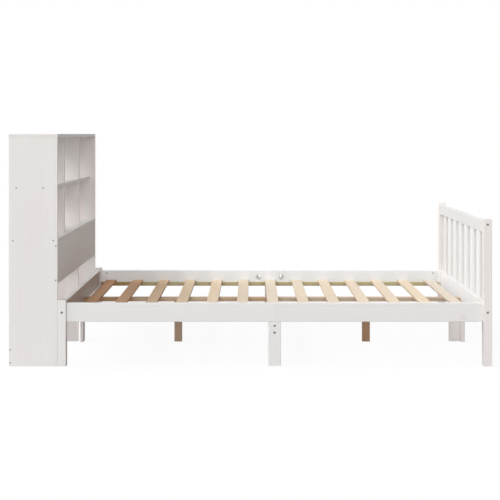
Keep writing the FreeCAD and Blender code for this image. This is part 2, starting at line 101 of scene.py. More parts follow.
class Wire:
    """A socket of a material or of the world, so that sums on it read as plain sums."""

    def __init__(self, socket):
        self.socket = socket
        self.tree = socket.id_data

    def node(self, kind, output, inputs, **settings):
        """Any other node: its settings, then the values or links of its sockets."""
        made = self.tree.nodes.new(kind)
        for setting, value in settings.items():
            setattr(made, setting, value)
        for name, value in inputs.items():
            if isinstance(value, Wire):
                self.tree.links.new(value.socket, made.inputs[name])
            else:
                made.inputs[name].default_value = value
        return Wire(made.outputs[output])

    def maths(self, operation, first, second=0.0):
        return self.node("ShaderNodeMath", 0, {0: first, 1: second}, operation=operation)

    def __add__(self, other):
        return self.maths("ADD", self, other)

    def __radd__(self, other):
        return self.maths("ADD", other, self)

    def __sub__(self, other):
        return self.maths("SUBTRACT", self, other)

    def __rsub__(self, other):
        return self.maths("SUBTRACT", other, self)

    def __mul__(self, other):
        return self.maths("MULTIPLY", self, other)

    def __rmul__(self, other):
        return self.maths("MULTIPLY", other, self)

    def __truediv__(self, other):
        return self.maths("DIVIDE", self, other)

    def __pow__(self, other):
        return self.maths("POWER", self, other)

    def __gt__(self, other):
        return self.maths("GREATER_THAN", self, other)

    def __abs__(self):
        return self.maths("ABSOLUTE", self)


def soft_lamp(name, towards, strength, spread):
    """A very broad lamp, shining in one direction."""
    bpy.ops.object.light_add(type="SUN")
    lamp = bpy.context.object
    lamp.name = name
    lamp.rotation_euler = Vector((0.0, 0.0, -1.0)).rotation_difference(Vector(towards)).to_euler()
    lamp.data.energy = strength
    lamp.data.angle = math.radians(spread)


def seen_share(start):
    """1 where the camera sees a thing, also in a mirror or through glass, and 0 for its light."""
    return (start.node("ShaderNodeLightPath", "Is Camera Ray", {})
            + start.node("ShaderNodeLightPath", "Is Glossy Ray", {})
            + start.node("ShaderNodeLightPath", "Is Transmission Ray", {}))


soft_lamp("key light", towards=(0.70, 0.0, -0.71), strength=2.8, spread=45.0)
soft_lamp("front light", towards=(-0.12, 0.94, -0.30), strength=1.33, spread=60.0)
soft_lamp("side light", towards=(0.40, 0.80, -0.45), strength=0.55, spread=16.0)

wall_level = 0.31
dimmer_to_foot = 0.17
dimmer_to_back = 0.25
white = (1.0, 1.0, 1.0, 1.0)

studio = bpy.data.worlds.new("studio")
bpy.context.scene.world = studio
studio.use_nodes = True
studio_output = studio.node_tree.nodes["World Output"]
looking = Wire(studio.node_tree.nodes.new("ShaderNodeTexCoord").outputs["Generated"])
towards_foot = looking.node("ShaderNodeSeparateXYZ", "X", {0: looking})
towards_back = looking.node("ShaderNodeSeparateXYZ", "Y", {0: looking})
wall_light = looking.node("ShaderNodeBackground", 0, {
    "Strength": wall_level - towards_foot * dimmer_to_foot - towards_back * dimmer_to_back})
seen_wall = looking.node("ShaderNodeBackground", 0, {"Color": white})
studio_light = looking.node("ShaderNodeMixShader", 0, {
    0: seen_share(looking), 1: wall_light, 2: seen_wall})
studio.node_tree.links.new(studio_light.socket, studio_output.inputs["Surface"])


# ---- floor --------------------------------------------------------------------------------------
# A plain pale studio floor that runs out of sight. It is white where it is seen, and greyer for the
# light that it throws back up, so that the undersides of the boards stay in shade.

def new_material(name):
    """A new material, with its Principled shader and its Object coordinates."""
    material = bpy.data.materials.new(name)
    material.use_nodes = True
    nodes = material.node_tree.nodes
    shader = nodes["Principled BSDF"]
    place = nodes.new("ShaderNodeTexCoord")
    return material, shader, place


def feed(shader, socket, wire):
    """Lead a wire to a socket of the shader, or of another node."""
    wire.tree.links.new(wire.socket, shader.inputs[socket])


def blend(factor, first, second):
    """One colour over another."""
    return factor.node("ShaderNodeMix", 2, {0: factor, 6: first, 7: second}, data_type="RGBA")


floor_half_width = 30.0
floor_drop = 0.0005
floor_grey = (0.40, 0.40, 0.40, 1.0)
floor_seen_grey = (0.92, 0.92, 0.92, 1.0)
floor_whiteness = 0.93

bpy.ops.object.select_all(action="DESELECT")
bpy.ops.mesh.primitive_plane_add(size=2.0 * floor_half_width, location=(0.0, 0.0, -floor_drop))
floor = bpy.context.object
floor.name = "floor"
floor_material, floor_shader, floor_place = new_material("floor")
floor_shader.inputs["Roughness"].default_value = 0.9
floor_shader.inputs["Specular IOR Level"].default_value = 0.1
seen_floor = seen_share(Wire(floor_place.outputs["Object"]))
feed(floor_shader, "Base Color", blend(seen_floor, floor_grey, floor_seen_grey))
floor_glow = seen_floor.node("ShaderNodeEmission", 0, {"Color": white, "Strength": 1.0})
floor_white = seen_floor.node("ShaderNodeMixShader", 0, {
    0: seen_floor * floor_whiteness, 1: Wire(floor_shader.outputs[0]), 2: floor_glow})
feed(floor_material.node_tree.nodes["Material Output"], "Surface", floor_white)
floor.data.materials.append(floor_material)


# ---- bookcase sides -----------------------------------------------------------------------------
# Two tall boards of pine, glued up edge to edge from narrow staves. They are coated with a thin
# white stain, so the staves, the grain and the knots show faintly through it, in grey and pink.

def fade(wire, low, high):
    """0 below low, 1 above high, and smooth between them."""
    return wire.node("ShaderNodeMapRange", "Result",
                     {"Value": wire, "From Min": low, "From Max": high}, interpolation_type="SMOOTHSTEP")


def noise(along, across, through, detail, roughness=0.5):
    """Smooth noise about 0.5, on coordinates already scaled to the size of its waves."""
    place = along.node("ShaderNodeCombineXYZ", 0, {0: along, 1: across, 2: through})
    return along.node("ShaderNodeTexNoise", 0,
                      {"Vector": place, "Scale": 1.0, "Detail": detail, "Roughness": roughness})


def coat(thing, material):
    """Give a thing one material all over."""
    thing.data.materials.clear()
    thing.data.materials.append(material)


def toned(colour, painted_light_and_tint):
    """A colour multiplied by another."""
    return colour.node("ShaderNodeMix", 2, {0: 1.0, 6: colour, 7: (*painted_light_and_tint, 1.0)},
                       data_type="RGBA", blend_type="MULTIPLY")


def looks_along(place, axis):
    """How squarely a surface looks along an axis: 1, or -1 the other way."""
    normal = Wire(place.outputs["Normal"])
    return normal.node("ShaderNodeSeparateXYZ", axis, {0: normal})


def squarely(looks):
    """1 on the faces that look that way, and 0 on the rest."""
    return fade(looks, 0.6, 0.95)


X, Y, Z = 0, 1, 2

# places in the wood are in metres, and knots, rings and waves are so many to the metre
seam_reach, seam_core = 0.0008, 0.0002
knots_along, knots_across, knots_through = 4.2, 5.6, 0.6
knotless_share = 0.45
smallest_knot, knot_range = 0.035, 0.05
heart_spread, nearest_heart, heart_range = 0.14, 0.025, 0.07
rings_to_metre = 270.0
ring_wander, ring_swirl = 0.022, 0.012
wander_along, wander_across = 1.6, 7.0
fibres_along, fibres_across = 14.0, 620.0
clouds_along, clouds_across = 2.3, 5.0


class Board:
    """The wood inside one board: where its staves, its rings, its knots and its edges are."""

    def __init__(self, node, grain, stave_width, place):
        low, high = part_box(node)
        middle = (low + high) / 2.0
        half = (high - low) / 2.0
        others = sorted((axis for axis in range(3) if axis != grain), key=lambda axis: -half[axis])
        start = Wire(place.outputs["Object"])
        local = [start.node("ShaderNodeSeparateXYZ", axis, {0: start}) - middle[axis]
                 for axis in range(3)]
        self.along, self.across, self.through = local[grain], local[others[0]], local[others[1]]
        self.seed = 3.7 * len(bpy.data.materials)

        # each stave is a strip of another tree
        strip = self.across / stave_width + (0.25 + math.floor(self.seed))
        number = strip.maths("FLOOR", strip)
        self.seam = fade(abs(strip - number - 0.5),
                         0.5 - seam_reach / stave_width, 0.5 - seam_core / stave_width)
        chance = number.node("ShaderNodeTexWhiteNoise", "Color", {"W": number}, noise_dimensions="1D")
        self.tint = chance.node("ShaderNodeSeparateColor", 0, {0: chance})
        shift = chance.node("ShaderNodeSeparateColor", 1, {0: chance})
        depth = chance.node("ShaderNodeSeparateColor", 2, {0: chance})

        # knots go right through the board
        spot = start.node("ShaderNodeCombineXYZ", 0, {
            0: self.along * knots_along + self.seed,
            1: self.across * knots_across + number * 7.0,
            2: self.through * knots_through})
        self.from_knot = start.node("ShaderNodeTexVoronoi", "Distance", {"Vector": spot, "Scale": 1.0})
        kind = start.node("ShaderNodeTexVoronoi", "Color", {"Vector": spot, "Scale": 1.0})
        kind = start.node("ShaderNodeSeparateColor", 0, {0: kind})
        self.knotty = kind > knotless_share
        self.knot_size = smallest_knot + kind * knot_range

        # growth rings are circles about the heart of the tree, which lies off to one side
        wander = noise(self.along * wander_along + self.seed, self.across * wander_across,
                       self.through * wander_across, 2.0)
        heart_across = self.across + (shift - 0.5) * heart_spread
        heart_through = self.through + nearest_heart + depth * heart_range
        swirl = (1.0 - fade(self.from_knot, 0.02, 0.32)) * self.knotty
        radius = (heart_across * heart_across + heart_through * heart_through) ** 0.5
        years = (radius + wander * ring_wander + swirl * ring_swirl) * rings_to_metre
        season = years.maths("FRACT", years)
        self.late_wood = season ** 3.0 * (1.0 - fade(season, 0.93, 1.0))

        # how far a point is from the nearest edge of the board
        gaps = [half[axis] - abs(local[axis]) for axis in range(3)]
        largest = gaps[0].maths("MAXIMUM", gaps[0], gaps[1])
        largest = largest.maths("MAXIMUM", largest, gaps[2])
        self.from_edge = gaps[0] + gaps[1] + gaps[2] - largest

        self.from_start = half[grain] + self.along

        # the cut ends look darker, because they drink in more of the finish
        self.end_grain = squarely(abs(looks_along(place, grain)))

        # fibres are fine streaks, and clouds are broad changes of tone
        self.fibres = noise(self.along * fibres_along + self.seed, self.across * fibres_across,
                            self.through * fibres_across, 3.0, 0.6)
        self.clouds = noise(self.along * clouds_along + self.seed, self.across * clouds_across,
                            self.through * clouds_across, 3.0)


white_grey = (0.765, 0.760, 0.745, 1.0)
white_pink = (0.785, 0.715, 0.700, 1.0)
white_late_wood = (0.66, 0.62, 0.59, 1.0)
white_knot = (0.55, 0.44, 0.40, 1.0)
white_worn = (0.62, 0.52, 0.43, 1.0)
white_painted_shade = (0.40, 0.29, 0.22, 1.0)


def white_pine(node, grain, stave_width=1.0, pinkness=0.0, foot_face_shade=0.0, foot_face_shade_along=0.0,
               joint=0.0, painted_light_and_tint=(1.0, 1.0, 1.0)):
    """Pine under a white stain, for one CAD board. The faces that look to the foot may get painted
    shade, more of it along the board, the start of the board may get painted shade in its joint,
    and the colour may be multiplied by painted light and tint."""
    material, shader, place = new_material("white pine " + node)
    wood = Board(node, grain, stave_width, place)
    knot = (1.0 - fade(wood.from_knot - wood.knot_size, 0.0, 0.012)) * wood.knotty
    halo = (1.0 - fade(wood.from_knot, 0.03, 0.20)) * wood.knotty
    pink = fade(wood.clouds * 0.6 + wood.tint * 0.4, 0.38, 0.66)
    colour = blend(pink * 0.5 + pinkness, white_grey, white_pink)
    colour = blend(wood.late_wood * 0.20 + wood.fibres * 0.05, colour, white_late_wood)
    colour = blend(wood.tint * 0.14 + wood.seam * 0.35, colour, white_late_wood)
    colour = blend(halo * 0.16, colour, white_pink)
    colour = blend(knot * (0.12 + wood.late_wood * 0.18), colour, white_knot)
    worn = (1.0 - fade(wood.from_edge, 0.0005, 0.0045)) * fade(wood.clouds, 0.35, 0.75)
    colour = blend(worn * 0.08 + wood.end_grain * 0.10, colour, white_worn)
    # painted shade on the faces that look to the foot, cloudy, and stronger along the board
    thin = wood.clouds * 0.4 * foot_face_shade + foot_face_shade * 0.8 + wood.along * foot_face_shade_along
    colour = blend(thin * squarely(looks_along(place, X)), colour, white_painted_shade)
    # painted shade in the joint where the board starts, for the gap's shadow
    colour = blend((1.0 - fade(wood.from_start, 0.0005, 0.0035)) * joint, colour, white_painted_shade)
    # the colour is multiplied by painted light and tint for this part
    feed(shader, "Base Color", toned(colour, painted_light_and_tint))
    feed(shader, "Roughness", 0.50 + wood.fibres * 0.12 - wood.late_wood * 0.08)
    height = wood.fibres * 0.35 + wood.late_wood * 0.5 + knot * 0.3
    feed(shader, "Normal", height.node("ShaderNodeBump", 0, {
        "Height": height, "Strength": 0.35, "Distance": 0.0004}))
    coat(frame["nodes"][node], material)


panel_stave = 0.058

white_pine("bookcase_left_side", Z, panel_stave, pinkness=0.25)
white_pine("bookcase_right_side", Z, panel_stave, pinkness=0.5)


# ---- bookcase top and shelves -------------------------------------------------------------------
# The top lies over both sides. The two shelves are screwed between the sides, and the middle one is
# not as deep as the rest. All are of the same white-stained staves, with the grain along the shelf.

# The lower shelf gets painted shade on its front edge, which looks to the foot.
for shelf, foot_face_shade in (("top", 0.0), ("middle_shelf", 0.0), ("lower_shelf", 0.24)):
    white_pine("bookcase_" + shelf, Y, panel_stave, pinkness=0.2, foot_face_shade=foot_face_shade)


# ---- bookcase dividers --------------------------------------------------------------------------
# Four short uprights, two in each row, stand between the shelves on dowels. They are of the same
# staves, and their grain runs up.

for row, row_pinkness in (("upper", 0.35), ("lower", 0.6)):
    for side in ("left", "right"):
        white_pine(row + "_" + side + "_divider", Z, panel_stave, pinkness=row_pinkness)


# ---- boards below the lower shelf ---------------------------------------------------------------
# The front panel hangs below the shelf and the rear rail stands on the floor, both screwed between
# the sides. The centre panel is notched round them and holds up the middle of the shelf.

# The front panel gets painted shade on its face to the foot, darker towards the far side, and the centre
# panel is painted lighter as painted light.
white_pine("bookcase_front_panel", Y, panel_stave, pinkness=0.6, foot_face_shade=0.26, foot_face_shade_along=0.18)
white_pine("bookcase_rear_rail", Y)
white_pine("bookcase_centre_panel", Z, panel_stave, pinkness=0.6, painted_light_and_tint=(1.07, 1.07, 1.07))


# ---- head end of the bed ------------------------------------------------------------------------
# Short square posts carry the head rail between them, and a board leg stands under its middle. They
# are single pieces of pine with rounded edges, under the same white stain, with painted shade on
# the faces that look to the foot, darkest on the rail. The leg is painted lighter as well.

for side in ("left", "right"):
    white_pine("head_" + side + "_post", Z, pinkness=0.2, foot_face_shade=0.35)
white_pine("head_rail", Y, foot_face_shade=0.85)
white_pine("head_centre_leg", Z, pinkness=0.3, foot_face_shade=0.5, painted_light_and_tint=(1.10, 1.12, 1.12))


# ---- foot end of the bed ------------------------------------------------------------------------
# Tall square posts hold a bottom and a top rail, and seven upright slats are let into both rails.
# Under the middle a board and its web make a leg like a T.

# The right post, the leg, its web, the slats and the bottom rail are painted lighter, and the top rail a
# little darker, as painted light.
for side, pinkness, post_painted_light in (("left", 0.15, (1.0, 1.0, 1.0)), ("right", 0.0, (1.12, 1.12, 1.12))):
    white_pine("foot_" + side + "_post", Z, pinkness=pinkness, painted_light_and_tint=post_painted_light)
white_pine("foot_bottom_rail", Y, pinkness=-0.2, painted_light_and_tint=(1.02, 1.03, 1.06))
white_pine("foot_top_rail", Y, pinkness=-0.4, painted_light_and_tint=(0.96, 0.97, 0.98))
for number in range(1, 8):
    white_pine("footboard_slat_" + str(number), Z, pinkness=-0.3, painted_light_and_tint=(1.04, 1.04, 1.05))
white_pine("foot_centre_leg", Z, pinkness=0.4, painted_light_and_tint=(1.13, 1.13, 1.13))
white_pine("foot_leg_web", Z, pinkness=0.6, painted_light_and_tint=(1.10, 1.10, 1.10))


# ---- side rails and middle legs -----------------------------------------------------------------
# Each side rail is two boards that meet over a leg at mid length, where a rod with two half-moon
# nuts draws them together. They are planed pine with rounded edges, stained white.

# The right rail is painted lighter as painted light, and the left rail's head half gets painted shade in
# its joint with the head post.
for side, half, joint, rail_painted_light in (
        ("left", "head", 0.7, (1.0, 1.0, 1.0)), ("left", "foot", 0.0, (1.0, 1.0, 1.0)),
        ("right", "head", 0.0, (1.13, 1.16, 1.19)), ("right", "foot", 0.0, (1.07, 1.10, 1.14))):
    white_pine(side + "_side_rail_" + half, X, pinkness=-0.2, joint=joint, painted_light_and_tint=rail_painted_light)
for side in ("left", "right"):
    white_pine("middle_" + side + "_leg", Z)


# ---- bare pine under the bed --------------------------------------------------------------------
# The cleats, the centre beam, its legs and the cross beam are out of sight under a mattress, so
# they are planed and left without any finish. The pine is yellow, with brown knots.

bare_early_wood = (0.78, 0.625, 0.455, 1.0)
bare_pale_wood = (0.82, 0.70, 0.555, 1.0)
bare_brown_wood = (0.42, 0.235, 0.12, 1.0)
bare_heart_wood = (0.56, 0.257, 0.117, 1.0)
bare_late_wood = (0.55, 0.34, 0.185, 1.0)
bare_knot = (0.20, 0.095, 0.045, 1.0)
bare_knot_rim = (0.36, 0.19, 0.09, 1.0)
head_shade_end, head_shade_start = -0.85, -0.55


def bare_pine(node, grain, brown, heart=0.0, at_head=0.0, to_foot=0.0, painted_light_and_tint=(1.0, 1.0, 1.0)):
    """Planed pine with no finish, for one CAD board or a group of like ones. It may be painted browner
    close to the head, as painted shade of the bookcase, or browner the nearer it is to the foot, and
    its colour may be multiplied by painted light and tint."""
    material, shader, place = new_material("bare pine " + node)
    wood = Board(node, grain, 1.0, place)
    knot = (1.0 - fade(wood.from_knot - wood.knot_size, 0.0, 0.010)) * wood.knotty
    rim = (1.0 - fade(abs(wood.from_knot - wood.knot_size - 0.004), 0.003, 0.012)) * wood.knotty
    halo = (1.0 - fade(wood.from_knot, 0.03, 0.16)) * wood.knotty
    colour = blend(fade(wood.clouds * 0.7 + wood.tint * 0.3, 0.35, 0.65), bare_early_wood, bare_pale_wood)
    start = Wire(place.outputs["Object"])
    lengthways = start.node("ShaderNodeSeparateXYZ", X, {0: start})
    # sides that look along the bed are a little browner as sawn edges, and those that look to the foot
    # get more, as painted shade
    sawn_and_shaded_side = looks_along(place, X)
    browner = (fade(wood.clouds, 0.2, 0.8) * 0.3 + (brown - 0.15) + lengthways * to_foot
               + (1.0 - fade(lengthways, head_shade_end, head_shade_start)) * at_head
               + squarely(abs(sawn_and_shaded_side)) * 0.4 + squarely(sawn_and_shaded_side) * 0.6)
    colour = blend(browner, colour, bare_brown_wood)
    colour = blend(fade(wood.clouds, 0.1, 0.9) * 0.2 * heart + heart * 0.9, colour, bare_heart_wood)
    colour = blend(wood.late_wood * 0.38 + wood.fibres * 0.10, colour, bare_late_wood)
    colour = blend(halo * 0.18, colour, bare_late_wood)
    colour = blend(knot * 0.80, colour, bare_knot_rim)
    colour = blend(rim * 0.65, colour, bare_knot)
    colour = blend(wood.end_grain * 0.22, colour, bare_late_wood)
    # the colour is multiplied by painted light and tint for this part
    feed(shader, "Base Color", toned(colour, painted_light_and_tint))
    feed(shader, "Roughness", 0.62 + wood.fibres * 0.15 - knot * 0.15)
    height = wood.fibres * 0.5 + wood.late_wood * 0.6 + knot * 0.3
    feed(shader, "Normal", height.node("ShaderNodeBump", 0, {
        "Height": height, "Strength": 0.45, "Distance": 0.0005}))
    coat(frame["nodes"][node], material)


# The cleats and the head half of the beam get painted shade of the bookcase towards the head.
bare_pine("slat_cleats", X, brown=0.53, at_head=0.7, painted_light_and_tint=(0.84, 0.975, 0.76))
bare_pine("centre_beam_head", X, brown=0.74, at_head=0.8, painted_light_and_tint=(0.98, 1.06, 1.13))
bare_pine("centre_beam_foot", X, brown=0.58, painted_light_and_tint=(0.90, 1.0, 1.13))
bare_pine("beam_legs", Z, brown=0.85, to_foot=0.5, painted_light_and_tint=(0.87, 0.90, 1.01))
bare_pine("middle_cross_beam", Y, brown=0.4)


# ---- slats of the base --------------------------------------------------------------------------
# Thirteen flat slats of the same bare pine lie across the bed on the cleats. Each is held by two
# screws to the centre beam, and each is cut from another board, so no two look alike. The first
# ones by the bookcase also carry painted shade, and the next ones painted light.

# slats one to three are painted redder, and slat one browner and darker, as painted shade of the
# bookcase; slats two to five are painted lighter as painted light
slat_browns_and_head_shade = (0.30, 0.05, 0.0, 0.0, 0.0, 0.02, 0.0, 0.05, 0.05, 0.08, 0.10, 0.12, 0.12)
slat_hearts_and_head_shade = (0.78, 0.52, 0.12, 0.0, 0.0, 0.03, 0.0, 0.02, 0.0, 0.03, 0.0, 0.02, 0.0)
slat_painted_light_and_tint = {1: (0.94, 0.93, 0.90), 2: (1.15, 1.04, 0.93), 3: (1.17, 1.10, 1.02), 4: (1.10, 1.09, 1.03),
              5: (1.11, 1.11, 1.12), 13: (0.89, 0.99, 1.13)}

for number, (brown, heart) in enumerate(zip(slat_browns_and_head_shade, slat_hearts_and_head_shade), 1):
    bare_pine("bed_slat_{:02d}".format(number), Y, brown, heart,
              painted_light_and_tint=slat_painted_light_and_tint.get(number, (0.99, 1.03, 1.06)))


# ---- bolts --------------------------------------------------------------------------------------
# Zinc-plated steel bolts hold the rails to the posts and the cross beam to the middle legs. Each
# has a flat head with a hexagon socket, sunk a little into the wood, and a thread at its far end.

bolt_head_radius = 0.0055
bolt_head_thick = 0.0035
bolt_radius = 0.0030
bolt_length = 0.074
bolt_thread_length = 0.030
bolt_thread_pitch = 0.001
bolt_thread_depth = 0.0004
bolt_end_taper = 0.75
bolt_socket_flats = 0.004
bolt_socket_depth = 0.0025
metal_edge = 0.0004
sharp_turn = math.radians(35.0)
bar_sides = 32
cad_weld = 0.00001
cut_weld = 0.000001


def zinc_plated(name, bright, dull):
    """Steel with a zinc plating that has bloomed in patches."""
    material, shader, place = new_material(name)
    start = Wire(place.outputs["Object"])
    bloom = start.node("ShaderNodeTexNoise", 0, {
        "Vector": start, "Scale": 420.0, "Detail": 4.0, "Roughness": 0.6})
    grain = start.node("ShaderNodeTexNoise", 0, {
        "Vector": start, "Scale": 2600.0, "Detail": 2.0, "Roughness": 0.5})
    feed(shader, "Base Color", blend(fade(bloom, 0.35, 0.7), dull, bright))
    feed(shader, "Roughness", 0.24 + bloom * 0.28)
    feed(shader, "Normal", grain.node("ShaderNodeBump", 0, {
        "Height": grain, "Strength": 0.25, "Distance": 0.0001}))
    shader.inputs["Metallic"].default_value = 1.0
    return material


# steel painted dark all over, as painted shade of the sunk heads and their sockets
shade_darkened_steel = zinc_plated("zinc darkened as painted shade", bright=(0.30, 0.30, 0.29, 1.0), dull=(0.14, 0.14, 0.135, 1.0))


def deselect_all():
    bpy.ops.object.select_all(action="DESELECT")


def solids_of(node):
    """The points of each separate solid in a CAD node, from a copy that is merged and split."""
    deselect_all()
    before = set(bpy.data.objects)
    copy = frame["nodes"][node].copy()
    copy.data = copy.data.copy()
    bpy.context.scene.collection.objects.link(copy)
    copy.select_set(True)
    bpy.context.view_layer.objects.active = copy
    bpy.ops.object.mode_set(mode="EDIT")
    bpy.ops.mesh.select_all(action="SELECT")
    bpy.ops.mesh.remove_doubles(threshold=cad_weld)
    bpy.ops.mesh.separate(type="LOOSE")
    bpy.ops.object.mode_set(mode="OBJECT")
    pieces = [piece for piece in bpy.data.objects if piece not in before]
    points = [[vertex.co.copy() for vertex in piece.data.vertices] for piece in pieces]
    for piece in pieces:
        bpy.data.objects.remove(piece)
    return points


def corners_of(points):
    """The lowest and highest corner of a solid's box."""
    low = Vector([min(point[axis] for point in points) for axis in range(3)])
    high = Vector([max(point[axis] for point in points) for axis in range(3)])
    return low, high


def lie_of(points):
    """Where a long fastener ends, on the side of its head, which way that faces, and its length."""
    low, high = corners_of(points)
    size = high - low
    axis = max(range(3), key=lambda each: size[each])
    middle = (low + high) / 2.0

    def off_axis(point):
        return math.hypot(*[point[each] - middle[each] for each in range(3) if each != axis])

    widest = max(off_axis(point) for point in points)
    rim = [point[axis] for point in points if off_axis(point) > 0.98 * widest]
    outward = Vector((0.0, 0.0, 0.0))
    outward[axis] = math.copysign(1.0, sum(rim) / len(rim) - middle[axis])
    return middle + outward * size[axis] / 2.0, outward, size[axis]


def choose_bottom(model):
    """Go into edit mode with only the faces that look down selected."""
    bpy.ops.object.mode_set(mode="EDIT")
    bpy.ops.mesh.select_mode(type="FACE")
    bpy.ops.mesh.select_all(action="DESELECT")
    bpy.ops.object.mode_set(mode="OBJECT")
    for face in model.data.polygons:
        face.select = face.normal.z < -0.99
    bpy.ops.object.mode_set(mode="EDIT")


def draw_down(length, taper=1.0):
    """Pull the selected end face down, and widen or narrow it."""
    bpy.ops.mesh.extrude_region_move(TRANSFORM_OT_translate={"value": (0.0, 0.0, -length)})
    bpy.ops.transform.resize(value=(taper, taper, 1.0), center_override=(0.0, 0.0, 0.0))


def draw_thread(radius, pitch, depth, length):
    """Pull the selected end face down along a thread."""
    root = 1.0 - depth / radius
    for turn in range(round(length / pitch)):
        draw_down(pitch / 2.0, root)
        draw_down(pitch / 2.0, 1.0 / root)


def round_edges(model, width, segments=2):
    """Round every sharp edge of a model."""
    bevel = model.modifiers.new("rounded", "BEVEL")
    bevel.width = width
    bevel.segments = segments
    bevel.limit_method = "ANGLE"
    bevel.angle_limit = sharp_turn
    bpy.ops.object.modifier_apply(modifier=bevel.name)


def cut_away(model, cutter):
    """Take the cutter's shape out of a model."""
    deselect_all()
    model.select_set(True)
    bpy.context.view_layer.objects.active = model
    cut = model.modifiers.new("cut", "BOOLEAN")
    cut.operation = "DIFFERENCE"
    cut.object = cutter
    bpy.ops.object.modifier_apply(modifier=cut.name)
    bpy.data.objects.remove(cutter)
    bpy.ops.object.mode_set(mode="EDIT")
    bpy.ops.mesh.select_all(action="SELECT")
    bpy.ops.mesh.remove_doubles(threshold=cut_weld)
    bpy.ops.mesh.normals_make_consistent(inside=False)
    bpy.ops.object.mode_set(mode="OBJECT")


def round_bar(radius, depth, sides):
    """A round bar with its top at the origin, to be worked further."""
    deselect_all()
    bpy.ops.mesh.primitive_cylinder_add(vertices=sides, radius=radius, depth=depth,
                                        location=(0.0, 0.0, -depth / 2.0))
    bpy.ops.object.transform_apply()
    return bpy.context.object


def lay_out(model, name, places, material, node):
    """Put a copy of the model, turned about its own axis, at each place, and join them as one piece."""
    copies = []
    for point, outward, turn in places:
        deselect_all()
        model.select_set(True)
        bpy.context.view_layer.objects.active = model
        bpy.ops.object.duplicate()
        copy = bpy.context.object
        upright = Vector((0.0, 0.0, 1.0)).rotation_difference(outward).to_matrix()
        copy.rotation_euler = (upright @ Matrix.Rotation(turn, 3, "Z")).to_euler()
        copy.location = point
        bpy.ops.object.transform_apply()
        copies.append(copy)
    bpy.data.objects.remove(model)
    deselect_all()
    for copy in copies:
        copy.select_set(True)
    bpy.context.view_layer.objects.active = copies[0]
    bpy.ops.object.join()
    bpy.ops.object.shade_smooth_by_angle(angle=sharp_turn)
    piece = bpy.context.object
    piece.name = name
    coat(piece, material)
    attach(piece, "root")
    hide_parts(node)
    return piece


bolt = round_bar(bolt_head_radius, bolt_head_thick, bar_sides)
round_edges(bolt, metal_edge)
choose_bottom(bolt)
bpy.ops.mesh.inset(thickness=bolt_head_radius - metal_edge - bolt_radius)
draw_down(bolt_length - bolt_thread_length)
draw_thread(bolt_radius, bolt_thread_pitch, bolt_thread_depth, bolt_thread_length - bolt_thread_pitch)
draw_down(bolt_thread_pitch, bolt_end_taper)
bpy.ops.object.mode_set(mode="OBJECT")
deselect_all()
bpy.ops.mesh.primitive_cylinder_add(vertices=6, radius=bolt_socket_flats / math.sqrt(3.0),
                                    depth=2.0 * bolt_socket_depth)
cut_away(bolt, bpy.context.object)
bolt_places = [(*lie_of(points)[:2], 0.0) for points in solids_of("frame_bolts")]
lay_out(bolt, "bolts", bolt_places, shade_darkened_steel, "frame_bolts")


# ---- barrel nuts --------------------------------------------------------------------------------
# Each bolt pulls on a round steel nut that lies across it, pushed into the rail from one face. The
# nut is threaded through its side, and a slot in its end lets it be turned until the bolt finds it.

nut_radius = 0.005
nut_length = 0.014
nut_bore_radius = 0.00305
nut_bore_depth = 0.00715
nut_slot_width = 0.0012
nut_slot_depth = 0.001
bore_sides = 24
head_end = -0.5

dull_steel = zinc_plated("dull zinc", bright=(0.50, 0.50, 0.485, 1.0), dull=(0.34, 0.34, 0.33, 1.0))

barrel_nut = round_bar(nut_radius, nut_length, bar_sides)
round_edges(barrel_nut, metal_edge)
deselect_all()
bpy.ops.mesh.primitive_cylinder_add(vertices=bore_sides, radius=nut_bore_radius, depth=4.0 * nut_radius,
                                    location=(0.0, 0.0, -nut_bore_depth),
                                    rotation=(0.0, math.radians(90.0), 0.0))
cut_away(barrel_nut, bpy.context.object)
deselect_all()
bpy.ops.mesh.primitive_cube_add(size=1.0, scale=(nut_slot_width, 4.0 * nut_radius, 2.0 * nut_slot_depth))
cut_away(barrel_nut, bpy.context.object)

# nuts of the head rail face the head, those of the foot rails and the cross beam face the foot, and
# those of the side rails face the bed
nut_places = []
for points in solids_of("barrel_nuts"):
    low, high = corners_of(points)
    middle = (low + high) / 2.0
    if high.x - low.x > high.y - low.y:
        mouth = Vector((-1.0 if middle.x < head_end else 1.0, 0.0, 0.0))
        nut_places.append((middle + mouth * nut_length / 2.0, mouth, math.radians(90.0)))
    else:
        mouth = Vector((0.0, -math.copysign(1.0, middle.y), 0.0))
        nut_places.append((middle + mouth * nut_length / 2.0, mouth, 0.0))
lay_out(barrel_nut, "cross_nuts", nut_places, dull_steel, "barrel_nuts")


# ---- rail connectors ----------------------------------------------------------------------------
# A threaded rod runs along each side rail, across the joint at mid length. A half-moon nut sits in a
# round recess at each end of it, and draws the two boards of the rail together.

rod_radius = 0.003
rod_thread_pitch = 0.001
rod_thread_depth = 0.0004
rod_end_taper = 0.8
rod_sides = 16
moon_radius = 0.0145
moon_thick = 0.012
moon_sides = 64
moon_bore_radius = 0.00305
moon_bore_depth = 0.00815
moon_edge = 0.0008

clean_steel = zinc_plated("clean zinc", bright=(0.76, 0.76, 0.74, 1.0), dull=(0.56, 0.56, 0.545, 1.0))

rod_points = solids_of("connector_rods")
rod_length = lie_of(rod_points[0])[2]
rod = round_bar(rod_radius * rod_end_taper, rod_thread_pitch / 2.0, rod_sides)
choose_bottom(rod)
draw_down(rod_thread_pitch / 2.0, 1.0 / rod_end_taper)
draw_thread(rod_radius, rod_thread_pitch, rod_thread_depth, rod_length - 2.0 * rod_thread_pitch)
draw_down(rod_thread_pitch, rod_end_taper)
bpy.ops.object.mode_set(mode="OBJECT")
rod_places = [(*lie_of(points)[:2], 0.0) for points in rod_points]
lay_out(rod, "joint_rods", rod_places, clean_steel, "connector_rods")

